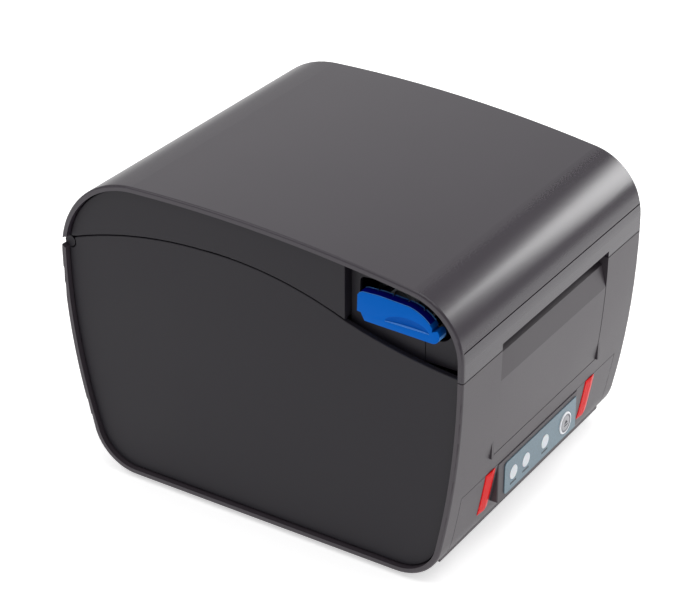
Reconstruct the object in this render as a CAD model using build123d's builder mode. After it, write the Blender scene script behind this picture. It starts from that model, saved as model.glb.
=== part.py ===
from build123d import *
import os
from math import cos, pi, sin, sqrt

# Receipt printer with a front paper exit, a top cover hinged at the back and a cover release lever.
# Row frame: X to the right, Y to the back, Z up, origin under the middle of the printer, in mm.
# Places inside the housing are given as x from the middle, y from the front and z from the
# underside of the housing, which stands on feet.

length = 184.0            # front to back at the belt
width = 145.0
housing_height = 133.1
foot_height = 2.0
front = -length / 2
half_width = width / 2

belt = 92.0               # height where front and back bulge furthest
front_radius = 375.0
back_radius = 267.0
top_radius = 650.0
top_peak = 125.0          # distance of the top's highest line from the front
corner_rounds = [
    ((0, 0), 20.0),
    ((length, 0), 21.0),
    ((0, housing_height), 26.0),
    ((length, housing_height), 38.0),
]

wall = 2.3                # outer band of the housing
rim_round = 0.9
panel_depth = 2.2         # side panels lie this far inside the rim
panel_gap = 0.4           # groove between rim and side panel
panel_x = half_width - panel_depth
seam_gap = 0.4            # between cover and base
seam_edge_round = 0.35     # along the side panels' edges

hinge_y = 180.9
hinge_z = 99.6
hinge_relief = 2.55       # clear radius round the hinge axis
knuckle_radius = 2.1
pin_radius = 1.1
running = 0.05            # radial clearance of a running fit

slot_left, slot_right = -43.2, 43.6
slot_top = 95.2
chute_top = 88.6
chute_bottom = 44.6
lip_top = 104.2
lip_end = half_width - 1.2

panel_half = 64.0         # lower light panel
light_low, light_high = 10.5, 37.0
lens_centre, lens_half = 41.5, 3.7
lens_low, lens_high = 17.2, 36.6
pod_left, pod_right = -35.4, 30.2
pod_low, pod_high = 18.8, 36.3
pod_face = 3.9
label_left, label_right = -30.6, 28.9
label_low, label_high = 19.8, 34.2
label_thickness = 0.4
led_places = [-23.6, -13.4, 2.4]
led_height, led_radius = 26.9, 3.0
button_x, button_z = 19.5, 26.6
button_radius, ring_radius = 3.5, 4.8

platen_y, platen_z, platen_radius, platen_shaft_radius = 24.0, 101.0, 6.0, 2.0
lever_y, lever_z, lever_shaft_radius = 39.5, 113.4, 2.0
gear_x = (53.6, 57.4)     # gear train stands outside the right frame plate
gear_module = 0.8
platen_teeth, idler_teeth, pinion_teeth = 22, 30, 12
mesh_slack = 0.12         # added to each centre distance
frame_x = 50.0
frame_sheet = 1.5

roll_y, roll_z, bucket_radius, bucket_wall = 101.0, 58.0, 41.5, 1.8
bucket_half = 42.5

blade_stroke = 5.0
cutter_x, cutter_z = -10.0, 72.0
cutter_teeth = 12

os.makedirs("parts", exist_ok=True)


def side_plane(x):
    """Upright plane across the printer at x; its own axes run back and up."""
    return Plane(origin=(x, front, foot_height), x_dir=(0, 1, 0), z_dir=(1, 0, 0))


def level(z):
    """Flat plane at height z; its own axes run right and back."""
    return Plane(origin=(0, front, foot_height + z), x_dir=(1, 0, 0), z_dir=(0, 0, 1))


def facing(y):
    """Upright plane at y seen from the front; its own axes run right and up."""
    return Plane(origin=(0, front + y, foot_height), x_dir=(1, 0, 0), z_dir=(0, -1, 0))


def block(x, y, z, mode=Mode.ADD):
    """Square block between three pairs of limits."""
    middle = (sum(x) / 2, front + sum(y) / 2, foot_height + sum(z) / 2)
    with Locations(middle):
        Box(x[1] - x[0], y[1] - y[0], z[1] - z[0], mode=mode)


def rod_x(x, y, z, radius, mode=Mode.ADD):
    """Round bar along X."""
    with Locations(Location((sum(x) / 2, front + y, foot_height + z), (0, 90, 0))):
        Cylinder(radius, x[1] - x[0], mode=mode)


def rod_y(x, y, z, radius, mode=Mode.ADD):
    """Round bar along Y."""
    with Locations(Location((x, front + sum(y) / 2, foot_height + z), (90, 0, 0))):
        Cylinder(radius, y[1] - y[0], mode=mode)


def rod_z(x, y, z, radius, mode=Mode.ADD):
    """Round bar along Z."""
    with Locations((x, front + y, foot_height + sum(z) / 2)):
        Cylinder(radius, z[1] - z[0], mode=mode)


def prism(points, x, mode=Mode.ADD):
    """Straight-sided outline in the side view, drawn out across the printer."""
    with BuildSketch(side_plane(x[0])) as outline:
        with BuildLine():
            Polyline(*points, close=True)
        make_face()
    extrude(outline.sketch, amount=x[1] - x[0], mode=mode)


def front_y(z):
    """Depth of the housing's front face at height z."""
    return front_radius - sqrt(front_radius**2 - (z - belt) ** 2)


def save(part, name):
    part.label = name
    export_step(part, f"parts/{name}.step")


def side_outline(inset=0.0):
    """Side view of the housing: three large arcs and a flat underside with rounded corners."""
    above = housing_height + 20
    with BuildSketch(mode=Mode.PRIVATE) as outline:
        with Locations((front_radius, belt)):
            Circle(front_radius - inset)
        with Locations((length - back_radius, belt)):
            Circle(back_radius - inset, mode=Mode.INTERSECT)
        with Locations((top_peak, housing_height - top_radius)):
            Circle(top_radius - inset, mode=Mode.INTERSECT)
        with Locations((length / 2, (inset + above) / 2)):
            Rectangle(length + 20, above - inset, mode=Mode.INTERSECT)
        for corner, radius in corner_rounds:
            fillet(outline.vertices().sort_by_distance(corner)[0], radius - inset)
    return outline.sketch


def seam_region(cover):
    """Side view of everything above the cover seam, or of everything below it."""
    shift = seam_gap / 2 if cover else -seam_gap / 2
    at = lambda y, z: (y, z + shift)
    back_end = (190, 100.1) if cover else (190, 94.0)
    far = 200 if cover else -60
    with BuildSketch(mode=Mode.PRIVATE) as region:
        with BuildLine():
            Line(at(-6, 92.4), at(0, 92.4))
            ThreePointArc(at(0, 92.4), at(26.2, 95.8), at(51.5, 102.3))
            ThreePointArc(at(51.5, 102.3), at(78.5, 110.5), at(115, 113.6))
            ThreePointArc(at(115, 113.6), at(148.3, 110.4), at(177.5, 102.4))
            Polyline(at(177.5, 102.4), back_end, (190, far), (-6, far), at(-6, 92.4))
        make_face()
    return region.sketch


def keep_region(cover):
    """Cut the part being built down to the cover's or the base's side of the seam."""
    with BuildSketch(side_plane(-half_width - 5)) as region:
        add(seam_region(cover))
    extrude(region.sketch, amount=width + 10, mode=Mode.INTERSECT)


def outline_slab(inset, x, mode=Mode.ADD):
    """Slab with the housing's side outline, between two places across the printer."""
    with BuildSketch(side_plane(x[0])) as outline:
        add(side_outline(inset))
    extrude(outline.sketch, amount=x[1] - x[0], mode=mode)


# Outer band: the wall that wraps over front, top, back and underside, open at both sides.
with BuildPart() as band:
    outline_slab(0, (-half_width, half_width))
    fillet(band.faces().filter_by(Axis.X).edges(), rim_round)
    outline_slab(wall, (-half_width - 1, half_width + 1), Mode.SUBTRACT)

# ---------------------------------------------------------------- base housing
plate_opening = ((-60.2, 60.2), (31.8, 148.2))
port_opening = ((-58.0, 58.0), (20.0, 64.0))
port_depth = 170.0

with BuildPart() as base_shell:
    add(band.part)
    keep_region(cover=False)
    block((slot_left, slot_right), (-1, 8), (chute_bottom, 96), Mode.SUBTRACT)
    block((-panel_half, panel_half), (-1, 25), (light_low, light_high), Mode.SUBTRACT)
    block(*plate_opening, (-1, 3), Mode.SUBTRACT)
    block(port_opening[0], (170, 190), port_opening[1], Mode.SUBTRACT)
    for side in (-1, 1):
        edge = slot_right if side > 0 else slot_left
        cheek = sorted((edge, edge + side * 1.6))
        block(cheek, (wall - 0.2, 7.5), (chute_bottom, 92.0))
    # funnel round the connectors
    block((-60, 60), (port_depth, 176.5), (18, 20))
    block((-60, 60), (port_depth, 181), (64, 66))
    block((-60, -58), (port_depth, 178), (18, 66))
    block((58, 60), (port_depth, 178), (18, 66))
    # ledge that carries the bottom plate
    block((-60.2, 60.2), (28, 36), (1.6, 3.2))
    block((-60.2, 60.2), (144, 152), (1.6, 3.2))
    # ledge behind the light panel
    block((-66, 66), (5.4, 8.4), (37.2, 41.0))
    block((-66, 66), (11.5, 14.5), (6.4, 9.6))
    rod_x((-half_width - 1, half_width + 1), hinge_y, hinge_z, hinge_relief, Mode.SUBTRACT)
    for side in (-1, 1):
        ends = sorted((side * 49.0, side * 57.0))
        rod_x(ends, hinge_y, hinge_z, knuckle_radius)
        block(ends, (178.8, 182.4), (92.0, hinge_z))
    rod_x((-60, 60), hinge_y, hinge_z, pin_radius + running, Mode.SUBTRACT)
save(base_shell.part, "base_shell")

panel_slab = (-panel_x, panel_depth - panel_x)

for name, mirrored in (("base_left_panel", False), ("base_right_panel", True)):
    with BuildPart() as base_panel:
        outline_slab(wall + panel_gap, panel_slab)
        keep_region(cover=False)
        rod_x((-panel_x - 1, panel_depth - panel_x + 1), hinge_y, hinge_z, hinge_relief + 0.3, Mode.SUBTRACT)
        fillet(base_panel.faces().sort_by(Axis.X)[0].edges(), seam_edge_round)
        if mirrored:
            mirror(about=Plane.YZ, mode=Mode.REPLACE)
    save(base_panel.part, name)

with BuildPart() as bottom_plate:
    block((-59.8, 59.8), (32.2, 147.8), (0.3, 1.55))
    with Locations((0, front + 90, foot_height + 0.925)):
        with GridLocations(8, 24, 11, 1):
            Box(3, 24, 3, mode=Mode.SUBTRACT)
    for x in (-56, 56):
        for y in (36, 144):
            rod_z(x, y, (0, 2), 1.65, Mode.SUBTRACT)
save(bottom_plate.part, "bottom_plate")

with BuildPart() as rubber_feet:
    for x in (-52, 52):
        for y in (48, 132):
            rod_z(x, y, (-foot_height, 0.3), 7.0)
    fillet(rubber_feet.faces().group_by(Axis.Z)[0].edges(), 0.7)
save(rubber_feet.part, "rubber_feet")

with BuildPart() as base_screws:
    for x in (-56, 56):
        for y in (36, 144):
            rod_z(x, y, (-0.9, 0.3), 2.8)
            rod_z(x, y, (0.3, 1.6), 1.5)
    for x in (-56, 56):
        for y in (36, 144):
            block((x - 1.8, x + 1.8), (y - 0.35, y + 0.35), (-1, -0.4), Mode.SUBTRACT)
            block((x - 0.35, x + 0.35), (y - 1.8, y + 1.8), (-1, -0.4), Mode.SUBTRACT)
save(base_screws.part, "base_screws")

# ---------------------------------------------------------------- front panels
with BuildPart() as chute_panel:
    with BuildSketch(side_plane(slot_left + 0.2)) as chute_side:
        with BuildLine():
            low, mid, high = chute_bottom + 0.2, 62.0, 79.0
            ThreePointArc((front_y(low) + 0.1, low), (front_y(mid) + 0.1, mid), (front_y(high) + 0.1, high))
            Polyline(
                (front_y(high) + 0.1, high),
                (2.6, chute_top),
                (5.2, chute_top + 1.2),
                (5.2, low),
                (front_y(low) + 0.1, low),
            )
        make_face()
    extrude(amount=slot_right - slot_left - 0.4)
save(chute_panel.part, "chute_panel")

with BuildPart() as light_panel:
    add(band.part)
    panel_x_limits = (-panel_half + 0.25, panel_half - 0.25)
    block(panel_x_limits, (-1, 25), (light_low + 0.25, light_high - 0.25), Mode.INTERSECT)
    block((pod_left - 0.1, pod_right + 0.1), (-1, 25), (pod_low - 0.1, pod_high + 0.1), Mode.SUBTRACT)
    for side in (-1, 1):
        edges = (side * lens_centre - lens_half - 0.1, side * lens_centre + lens_half + 0.1)
        block(edges, (-1, 25), (lens_low - 0.1, lens_high + 0.1), Mode.SUBTRACT)
save(light_panel.part, "light_panel")

for name, side in (("alarm_lens_left", -1), ("alarm_lens_right", 1)):
    centre = side * lens_centre
    with BuildPart() as alarm_lens:
        outline_slab(-0.35, (centre - lens_half, centre + lens_half))
        outline_slab(wall + 0.6, (centre - 10, centre + 10), Mode.SUBTRACT)
        block((centre - lens_half, centre + lens_half), (-1, 25), (lens_low, lens_high), Mode.INTERSECT)
        fillet(alarm_lens.edges().filter_by(lambda e: e.center().Y < front + 8.5 and e.length > 5)
               .group_by(SortBy.LENGTH)[-1], 0.3)
    save(alarm_lens.part, name)

with BuildPart() as control_pod:
    block((pod_left, pod_right), (pod_face, 9.5), (pod_low, pod_high))
    fillet(control_pod.faces().sort_by(Axis.Y)[0].edges().filter_by(Axis.Z), 0.5)
    block((pod_left + 2, pod_right - 2), (pod_face + 2.0, 10), (pod_low + 2, pod_high - 2), Mode.SUBTRACT)
    for x in led_places:
        rod_y(x, (0, 10), led_height, led_radius + 0.05, Mode.SUBTRACT)
    rod_y(button_x, (0, 10), button_z, ring_radius + 0.05, Mode.SUBTRACT)
save(control_pod.part, "control_pod")

label_top_face = pod_face - label_thickness
with BuildPart() as control_label:
    block((label_left, label_right), (label_top_face, pod_face), (label_low, label_high))
    fillet(control_label.edges().filter_by(Axis.Y).group_by(Axis.X)[0], 1.6)
    for x in led_places:
        rod_y(x, (0, 10), led_height, led_radius + 0.05, Mode.SUBTRACT)
    rod_y(button_x, (0, 10), button_z, ring_radius + 0.05, Mode.SUBTRACT)
save(control_label.part, "control_label")

with BuildPart() as led_windows:
    for x in led_places:
        rod_y(x, (label_top_face - 0.15, 8.0), led_height, led_radius)
    fillet(led_windows.faces().group_by(Axis.Y)[0].edges(), 0.15)
save(led_windows.part, "led_windows")

with BuildPart() as button_ring:
    rod_y(button_x, (label_top_face - 0.5, 7.0), button_z, ring_radius)
    fillet(button_ring.faces().sort_by(Axis.Y)[0].edges(), 0.4)
    rod_y(button_x, (0, 10), button_z, button_radius + 0.1, Mode.SUBTRACT)
save(button_ring.part, "button_ring")

button_travel = 0.6
button_back = 9.6
with BuildPart() as feed_button:
    rod_y(button_x, (label_top_face - 0.5, button_back), button_z, button_radius)
    fillet(feed_button.faces().sort_by(Axis.Y)[0].edges(), 0.4)
save(feed_button.part, "feed_button")

board_front = 12.4
with BuildPart() as control_board:
    block((-50, 50), (board_front, board_front + 1.6), (12.0, 36.0))
    for x in led_places:
        rod_y(x, (8.3, board_front), led_height, 1.5)
    for side in (-1, 1):
        for z in (20.0, 31.0):
            lamp_x = (side * lens_centre - 1.5, side * lens_centre + 1.5)
            block(lamp_x, (board_front - 1.2, board_front), (z, z + 2))
save(control_board.part, "control_board")

with BuildPart() as tact_switch:
    block((button_x - 3, button_x + 3), (board_front - 1.8, board_front), (button_z - 3, button_z + 3))
save(tact_switch.part, "tact_switch")


# ---------------------------------------------------------------- lever and its recess
def lever_face(grow=0.0):
    """Side view of the release lever: blunt at the back, rounded down to a nose at the front."""
    with BuildSketch(mode=Mode.PRIVATE) as face:
        with BuildLine():
            Line((13.2, 105.0), (40.4, 105.2))
            Line((40.4, 105.2), (43.2, 109.2))
            Line((43.2, 109.2), (45.6, 109.2))
            Line((45.6, 109.2), (45.4, 117.2))
            Line((45.4, 117.2), (36.4, 117.9))
            ThreePointArc((36.4, 117.9), (22.0, 116.6), (13.4, 110.9))
            Line((13.4, 110.9), (10.9, 110.6))
            ThreePointArc((10.9, 110.6), (10.9, 106.8), (13.2, 105.0))
        make_face()
        if grow:
            offset(amount=grow, mode=Mode.REPLACE)
    return face.sketch


lever_x = (-71.7, -66.9)
recess_x = (-66.2, -64.6)
recess_rear = 51.8
split_y = 19.7

with BuildPart() as recess_wall:
    outline_slab(wall + 1.3, recess_x)
    block(recess_x, (split_y, recess_rear - 0.4), (84, 130), Mode.INTERSECT)
    with BuildSketch(side_plane(recess_x[0] - 1)) as mouth:
        with Locations((0, 1.2)):
            add(lever_face(2.2))
        with Locations((26, 121.5)):
            Rectangle(29, 9)
    extrude(mouth.sketch, amount=4, mode=Mode.SUBTRACT)
    block((recess_x[0], -51.6), (24.0, 44.0), (86.5, 88.0))
save(recess_wall.part, "recess_wall")

with BuildPart() as lever_handle:
    with BuildSketch(side_plane(lever_x[0])) as handle_side:
        add(lever_face())
    extrude(amount=lever_x[1] - lever_x[0])
    fillet(lever_handle.edges().filter_by(Axis.X), 0.6)
    fillet(lever_handle.faces().sort_by(Axis.X)[0].edges(), 0.45)
    rod_x((lever_x[1], recess_x[1] - 0.4), lever_y, lever_z, 3.4)
    rod_x((-70.0, recess_x[1]), lever_y, lever_z, lever_shaft_radius, Mode.SUBTRACT)
    # finger scoop in the outer face and grip notches along the top edge
    with BuildSketch(side_plane(lever_x[0] - 0.2)) as scoop:
        with Locations((23.6, 109.9)):
            SlotOverall(15, 4.4, rotation=-3)
    extrude(scoop.sketch, amount=0.9, mode=Mode.SUBTRACT)
    for y, z in ((35.6, 118.0), (30.3, 117.9), (25.2, 117.4), (20.2, 116.0)):
        block((-69.0, lever_x[1] + 1), (y - 0.4, y + 0.4), (z - 0.8, z + 1), Mode.SUBTRACT)
save(lever_handle.part, "lever_handle")

with BuildPart() as lever_shaft:
    rod_x((-70.0, frame_x + frame_sheet + 1.5), lever_y, lever_z, lever_shaft_radius)
save(lever_shaft.part, "lever_shaft")

pin_y, pin_z, latch_pin_radius = 32.4, 98.4, 1.5
with BuildPart() as latch_hooks:
    for side in (-1, 1):
        ends = sorted((side * 43.8, side * 45.8))
        rod_x(ends, lever_y, lever_z, 4.0)
        prism([(37.4, 112), (42.2, 112), (41.4, 96.6), (38.0, 96.6), (37.2, 100.2), (34.9, 100.6),
               (34.9, 102.4), (37.4, 104.2)], ends)
        rod_x(ends, lever_y, lever_z, lever_shaft_radius, Mode.SUBTRACT)
save(latch_hooks.part, "latch_hooks")

# ---------------------------------------------------------------- print mechanism in the base
def gear_face(teeth, phase):
    """Spur gear outline with straight flanks; a tooth points along the phase angle, in degrees."""
    pitch = gear_module * teeth / 2
    root = pitch - 1.2 * gear_module
    tip = pitch + 0.85 * gear_module
    half_root, half_pitch, half_tip = 0.92 * gear_module, 0.66 * gear_module, 0.3 * gear_module
    with BuildSketch(mode=Mode.PRIVATE) as face:
        Circle(root)
        with PolarLocations(0, teeth, start_angle=phase):
            Polygon((root - 0.3, -half_root), (root, -half_root), (pitch, -half_pitch), (tip, -half_tip),
                    (tip, half_tip), (pitch, half_pitch), (root, half_root), (root - 0.3, half_root),
                    align=None)
    return face.sketch


def gear_on_side(y, z, teeth, phase, x, bore):
    """Gear standing upright on an X axis."""
    with BuildSketch(side_plane(x[0])) as wheel:
        with Locations((y, z)):
            add(gear_face(teeth, phase))
            Circle(bore, mode=Mode.SUBTRACT)
    extrude(wheel.sketch, amount=x[1] - x[0])


def polar(distance, angle):
    return distance * cos(angle * pi / 180), distance * sin(angle * pi / 180)


# Gear train: motor pinion, idler on the base and platen gear on the cover.
idler_angle = -72.0       # direction from the platen axis to the idler
pinion_angle = -8.0       # direction from the idler to the motor
idler_reach = gear_module * (platen_teeth + idler_teeth) / 2 + mesh_slack
pinion_reach = gear_module * (idler_teeth + pinion_teeth) / 2 + mesh_slack
idler_y = platen_y + polar(idler_reach, idler_angle)[0]
idler_z = platen_z + polar(idler_reach, idler_angle)[1]
motor_y = idler_y + polar(pinion_reach, pinion_angle)[0]
motor_z = idler_z + polar(pinion_reach, pinion_angle)[1]
platen_phase = idler_angle
idler_phase = idler_angle + 180 + 180 / idler_teeth
# the idler's tooth nearest the pinion sets the pinion's phase
idler_step = 360 / idler_teeth
tooth_offset = (pinion_angle - idler_phase) % idler_step
pinion_phase = pinion_angle + 180 + (tooth_offset / idler_step + 0.5) * 360 / pinion_teeth

motor_radius = 9.0
motor_shaft = 1.0
with BuildPart() as mechanism_frame:
    for side in (-1, 1):
        ends = sorted((side * frame_x, side * (frame_x + frame_sheet)))
        prism([(9, 60), (56, 60), (56, 92), (45, 118.5), (34.5, 118.5), (31.5, 104), (9, 104)], ends)
        with BuildSketch(side_plane(ends[0] - 1)) as cradle:
            with Locations((platen_y, platen_z)):
                Circle(4.2)
            with Locations((platen_y, platen_z + 5)):
                Rectangle(8.4, 10)
        extrude(cradle.sketch, amount=4, mode=Mode.SUBTRACT)
        rod_x((ends[0] - 1, ends[1] + 1), lever_y, lever_z, lever_shaft_radius + running, Mode.SUBTRACT)
        rod_x((ends[0] - 1, ends[1] + 1), 18, 70, 3.0, Mode.SUBTRACT)
    rod_x((frame_x - 1, frame_x + 3), motor_y, motor_z, motor_shaft + 1.0, Mode.SUBTRACT)
    block((-frame_x, frame_x), (14, 56), (60, 61.5))
    block((-frame_x, 20), (53.0, 54.5), (61.5, 84))
    for side in (-1, 1):
        block(sorted((side * 40, side * 46)), (44, 50), (1.6, 60))
        block(sorted((side * 40, side * 46)), (28, 34), (3.25, 60))
save(mechanism_frame.part, "mechanism_frame")

with BuildPart() as head_bracket:
    block((-48, 48), (16, 33), (83.0, 84.4))
    block((-48, 48), (31.6, 33), (84.4, 89.6))
    for side in (-1, 1):
        block(sorted((side * 48, side * (frame_x - 0.02))), (18, 31), (80, 86))
save(head_bracket.part, "head_bracket")

with BuildPart() as heat_sink:
    block((-44, 44), (16, 31.4), (89.0, 93.6))
    with Locations((0, front + 23.7, foot_height + 90)):
        with GridLocations(4, 20, 20, 1):
            Box(1.8, 20, 2.6, mode=Mode.SUBTRACT)
save(heat_sink.part, "heat_sink")

with BuildPart() as thermal_head:
    block((-43, 43), (16.5, 31.0), (93.6, 94.5))
    with BuildSketch(side_plane(-41)) as heater_line:
        with Locations((platen_y, 94.4)):
            Ellipse(1.6, 0.3)
    extrude(heater_line.sketch, amount=82)
save(thermal_head.part, "thermal_head")

with BuildPart() as head_spring:
    for x in (-30, 0, 30):
        with BuildSketch(level(84.4)) as coil:
            with Locations((x, 23.7)):
                Circle(3.0)
                Circle(2.3, mode=Mode.SUBTRACT)
        extrude(coil.sketch, amount=89.0 - 84.4)
save(head_spring.part, "head_springs")


idler_hub = 1.5
with BuildPart() as idler_gear:
    gear_on_side(idler_y, idler_z, idler_teeth, idler_phase, gear_x, idler_hub + running)
    for x in (gear_x[0], gear_x[1]):
        with BuildSketch(side_plane(x - 0.9)) as web:
            with Locations((idler_y, idler_z)):
                Circle(9.3)
                Circle(4.2, mode=Mode.SUBTRACT)
        extrude(web.sketch, amount=1.8, mode=Mode.SUBTRACT)
save(idler_gear.part, "idler_gear")

with BuildPart() as idler_pin:
    rod_x((frame_x + frame_sheet, gear_x[1] + 1.4), idler_y, idler_z, idler_hub)
    rod_x((gear_x[1] + 0.3, gear_x[1] + 1.4), idler_y, idler_z, idler_hub + 1.1)
save(idler_pin.part, "idler_pin")

with BuildPart() as stepper_motor:
    rod_x((24, 48.4), motor_y, motor_z, motor_radius)
    fillet(stepper_motor.faces().filter_by(Axis.X).edges(), 0.5)
    block((48.4, frame_x - 0.02), (motor_y - 12, motor_y + 8.6), (motor_z - 4, motor_z + 4))
    rod_x((23, 52), motor_y, motor_z, motor_shaft + running, Mode.SUBTRACT)
save(stepper_motor.part, "stepper_motor")

with BuildPart() as motor_pinion:
    gear_on_side(motor_y, motor_z, pinion_teeth, pinion_phase, gear_x, motor_shaft - 0.4)
    rod_x((26, gear_x[1]), motor_y, motor_z, motor_shaft)
    rod_x((gear_x[0] - 1.2, gear_x[0]), motor_y, motor_z, 2.0)
save(motor_pinion.part, "motor_pinion")

# ---------------------------------------------------------------- cutter
with BuildPart() as cutter_blade:
    with BuildSketch(facing(12.0)) as blade_face:
        with BuildLine():
            Polyline((-44, 92.2), (0, 90.8), (44, 92.2), (44, 80.2), (-16.6, 80.2), (-16.6, 62.5),
                     (-22, 62.5), (-22, 80.2), (-44, 80.2), close=True)
        make_face()
        rack_pitch_x = cutter_x - gear_module * cutter_teeth / 2 - mesh_slack
        rack_step = pi * gear_module
        for index in range(-4, 3):
            tooth_z = cutter_z + (index + 0.5) * rack_step
            with BuildLine():
                Polyline((-16.8, tooth_z - 0.74), (rack_pitch_x, tooth_z - 0.53),
                         (rack_pitch_x + 0.68, tooth_z - 0.24), (rack_pitch_x + 0.68, tooth_z + 0.24),
                         (rack_pitch_x, tooth_z + 0.53), (-16.8, tooth_z + 0.74), close=True)
            make_face()
    extrude(amount=0.7)
save(cutter_blade.part, "cutter_blade")

with BuildPart() as cutter_pinion:
    with BuildSketch(facing(13.2)) as cutter_wheel:
        with Locations((cutter_x, cutter_z)):
            add(gear_face(cutter_teeth, 180))
    extrude(amount=2.0)
    rod_y(cutter_x, (13.2, 30.0), cutter_z, motor_shaft)
save(cutter_pinion.part, "cutter_pinion")

with BuildPart() as cutter_motor:
    rod_y(cutter_x, (15.0, 34.0), cutter_z, 6.2)
    fillet(cutter_motor.faces().filter_by(Axis.Y).edges(), 0.5)
    block((cutter_x - 5.5, cutter_x + 5.5), (16.0, 33.0), (61.5, cutter_z - 4))
    rod_y(cutter_x, (14, 31), cutter_z, motor_shaft + running, Mode.SUBTRACT)
save(cutter_motor.part, "cutter_motor")

with BuildPart() as cutter_frame:
    block((-47, 47), (9.4, 10.9), (61.0, 91.0))
    for side in (-1, 1):
        block(sorted((side * 44.4, side * 47)), (10.9, 13.6), (61.0, 91.0))
        block(sorted((side * 41.5, side * 44.4)), (12.4, 13.6), (80.0, 91.0))
        block(sorted((side * 47, side * (frame_x - 0.02))), (9.4, 10.9), (66.0, 86.0))
    rod_y(cutter_x, (8, 12), cutter_z, 7.0, Mode.SUBTRACT)
save(cutter_frame.part, "cutter_frame")

# ---------------------------------------------------------------- paper bay
with BuildPart() as paper_bucket:
    with BuildSketch(side_plane(-bucket_half - bucket_wall)) as bucket_side:
        with Locations((roll_y, roll_z)):
            Circle(bucket_radius + bucket_wall)
        with Locations((roll_y, roll_z + 20)):
            Rectangle(2 * (bucket_radius + bucket_wall), 40)
    extrude(amount=2 * (bucket_half + bucket_wall))
    with BuildSketch(side_plane(-bucket_half)) as bucket_hollow:
        with Locations((roll_y, roll_z)):
            Circle(bucket_radius)
        with Locations((roll_y, roll_z + 30)):
            Rectangle(2 * bucket_radius, 60)
    extrude(bucket_hollow.sketch, amount=2 * bucket_half, mode=Mode.SUBTRACT)
    for x in (-24, 4):
        block((x - 1, x + 1), (56.2, 59.0), (66, 98))
    block((-bucket_half, bucket_half), (55.2, 57.8), (96, 98))
save(paper_bucket.part, "paper_bucket")

with BuildPart() as paper_sensor:
    block((-34, -26), (47.5, 54.5), (84.0, 90.0))
    rod_z(-30, 50.2, (90.0, 90.6), 1.6)
save(paper_sensor.part, "paper_sensor")

# ---------------------------------------------------------------- electronics and ports
main_board_front = 157.0
with BuildPart() as main_board:
    block((-56, 56), (main_board_front, main_board_front + 1.6), (6.0, 76.0))
    for x, z in ((-40, 66), (-28, 66), (-16, 66)):
        rod_y(x, (main_board_front - 9, main_board_front), z, 4.0)
    block((10, 30), (main_board_front - 1.6, main_board_front), (52, 70))
save(main_board.part, "main_board")

port_face = 173.4
with BuildPart() as rear_panel:
    block((-57.8, 57.8), (port_depth + 0.2, port_depth + 2.0), (20.2, 63.8))
    block((-49.2, -36.8), (160, 180), (27.8, 48.2), Mode.SUBTRACT)
    block((-28.2, -15.8), (160, 180), (27.8, 40.2), Mode.SUBTRACT)
    block((-8.2, 8.2), (160, 180), (27.8, 42.2), Mode.SUBTRACT)
    block((13.8, 28.2), (160, 180), (27.8, 42.2), Mode.SUBTRACT)
    block((35.8, 50.2), (160, 180), (27.8, 42.2), Mode.SUBTRACT)
save(rear_panel.part, "rear_panel")


def socket(x, z, mouth, name, round_mouth=False):
    """Square connector body with a blind mouth facing back."""
    with BuildPart() as connector:
        block(x, (main_board_front + 1.6, port_face), z)
        middle_x, middle_z = sum(x) / 2, sum(z) / 2
        if round_mouth:
            rod_y(middle_x, (port_face - 9, port_face + 1), middle_z, mouth[0] / 2, Mode.SUBTRACT)
            for side in (-1, 1):
                rod_y(middle_x + side * 2.0, (port_face - 9, port_face - 3.0), middle_z, 0.5)
        else:
            block((middle_x - mouth[0] / 2, middle_x + mouth[0] / 2), (port_face - 11, port_face + 1),
                  (middle_z - mouth[1] / 2, middle_z + mouth[1] / 2), Mode.SUBTRACT)
            tongue_x = (middle_x - mouth[0] / 2 + 1.5, middle_x + mouth[0] / 2 - 1.5)
            tongue_z = (middle_z - mouth[1] / 2 - 0.1, middle_z - mouth[1] / 2 + 1.0)
            block(tongue_x, (port_face - 11, port_face - 2), tongue_z)
    save(connector.part, name)


socket((-28, -16), (28, 40), (10.0, 0), "power_jack", round_mouth=True)
socket((-8, 8), (28, 42), (12.0, 8.4), "lan_port")
socket((14, 28), (28, 42), (8.6, 7.8), "usb_port")
socket((36, 50), (28, 42), (9.8, 6.8), "drawer_port")

rocker_y, rocker_z, rocker_pin_radius = 169.5, 38.0, 0.8
with BuildPart() as switch_bezel:
    block((-49, -37), (162.0, 172.0), (28, 48))
    block((-50.4, -35.6), (172.0, 173.4), (26.6, 49.4))
    fillet(switch_bezel.faces().sort_by(Axis.Y)[-1].edges(), 0.5)
    block((-48, -38), (163.4, 175), (29.2, 46.8), Mode.SUBTRACT)
    rod_x((-48.5, -47.2), rocker_y, rocker_z, rocker_pin_radius)
    rod_x((-38.8, -37.5), rocker_y, rocker_z, rocker_pin_radius)
save(switch_bezel.part, "switch_bezel")

with BuildPart() as power_rocker:
    prism([(166.5, 33.5), (171.9, 30.2), (172.9, 30.2), (173.4, 38.0), (176.3, 45.0), (175.6, 45.7),
           (166.5, 42.5)], (-47.7, -38.3))
    fillet(power_rocker.edges().filter_by(Axis.X).group_by(Axis.Y)[-1], 0.4)
    rod_x((-49, -37), rocker_y, rocker_z, rocker_pin_radius + running, Mode.SUBTRACT)
save(power_rocker.part, "power_rocker")

with BuildPart() as buzzer:
    rod_y(38, (main_board_front - 8, main_board_front), 60, 6.0)
    rod_y(38, (main_board_front - 9, main_board_front - 6), 60, 1.2, Mode.SUBTRACT)
save(buzzer.part, "buzzer")

with BuildPart() as flat_flex:
    prism([(33.2, 86.0), (34.2, 86.0), (34.2, 62.6), (40.0, 62.6), (40.0, 63.0), (34.6, 63.0), (34.6, 86.6),
           (33.2, 86.6)], (-16, 16))
save(flat_flex.part, "flat_flex")

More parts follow.
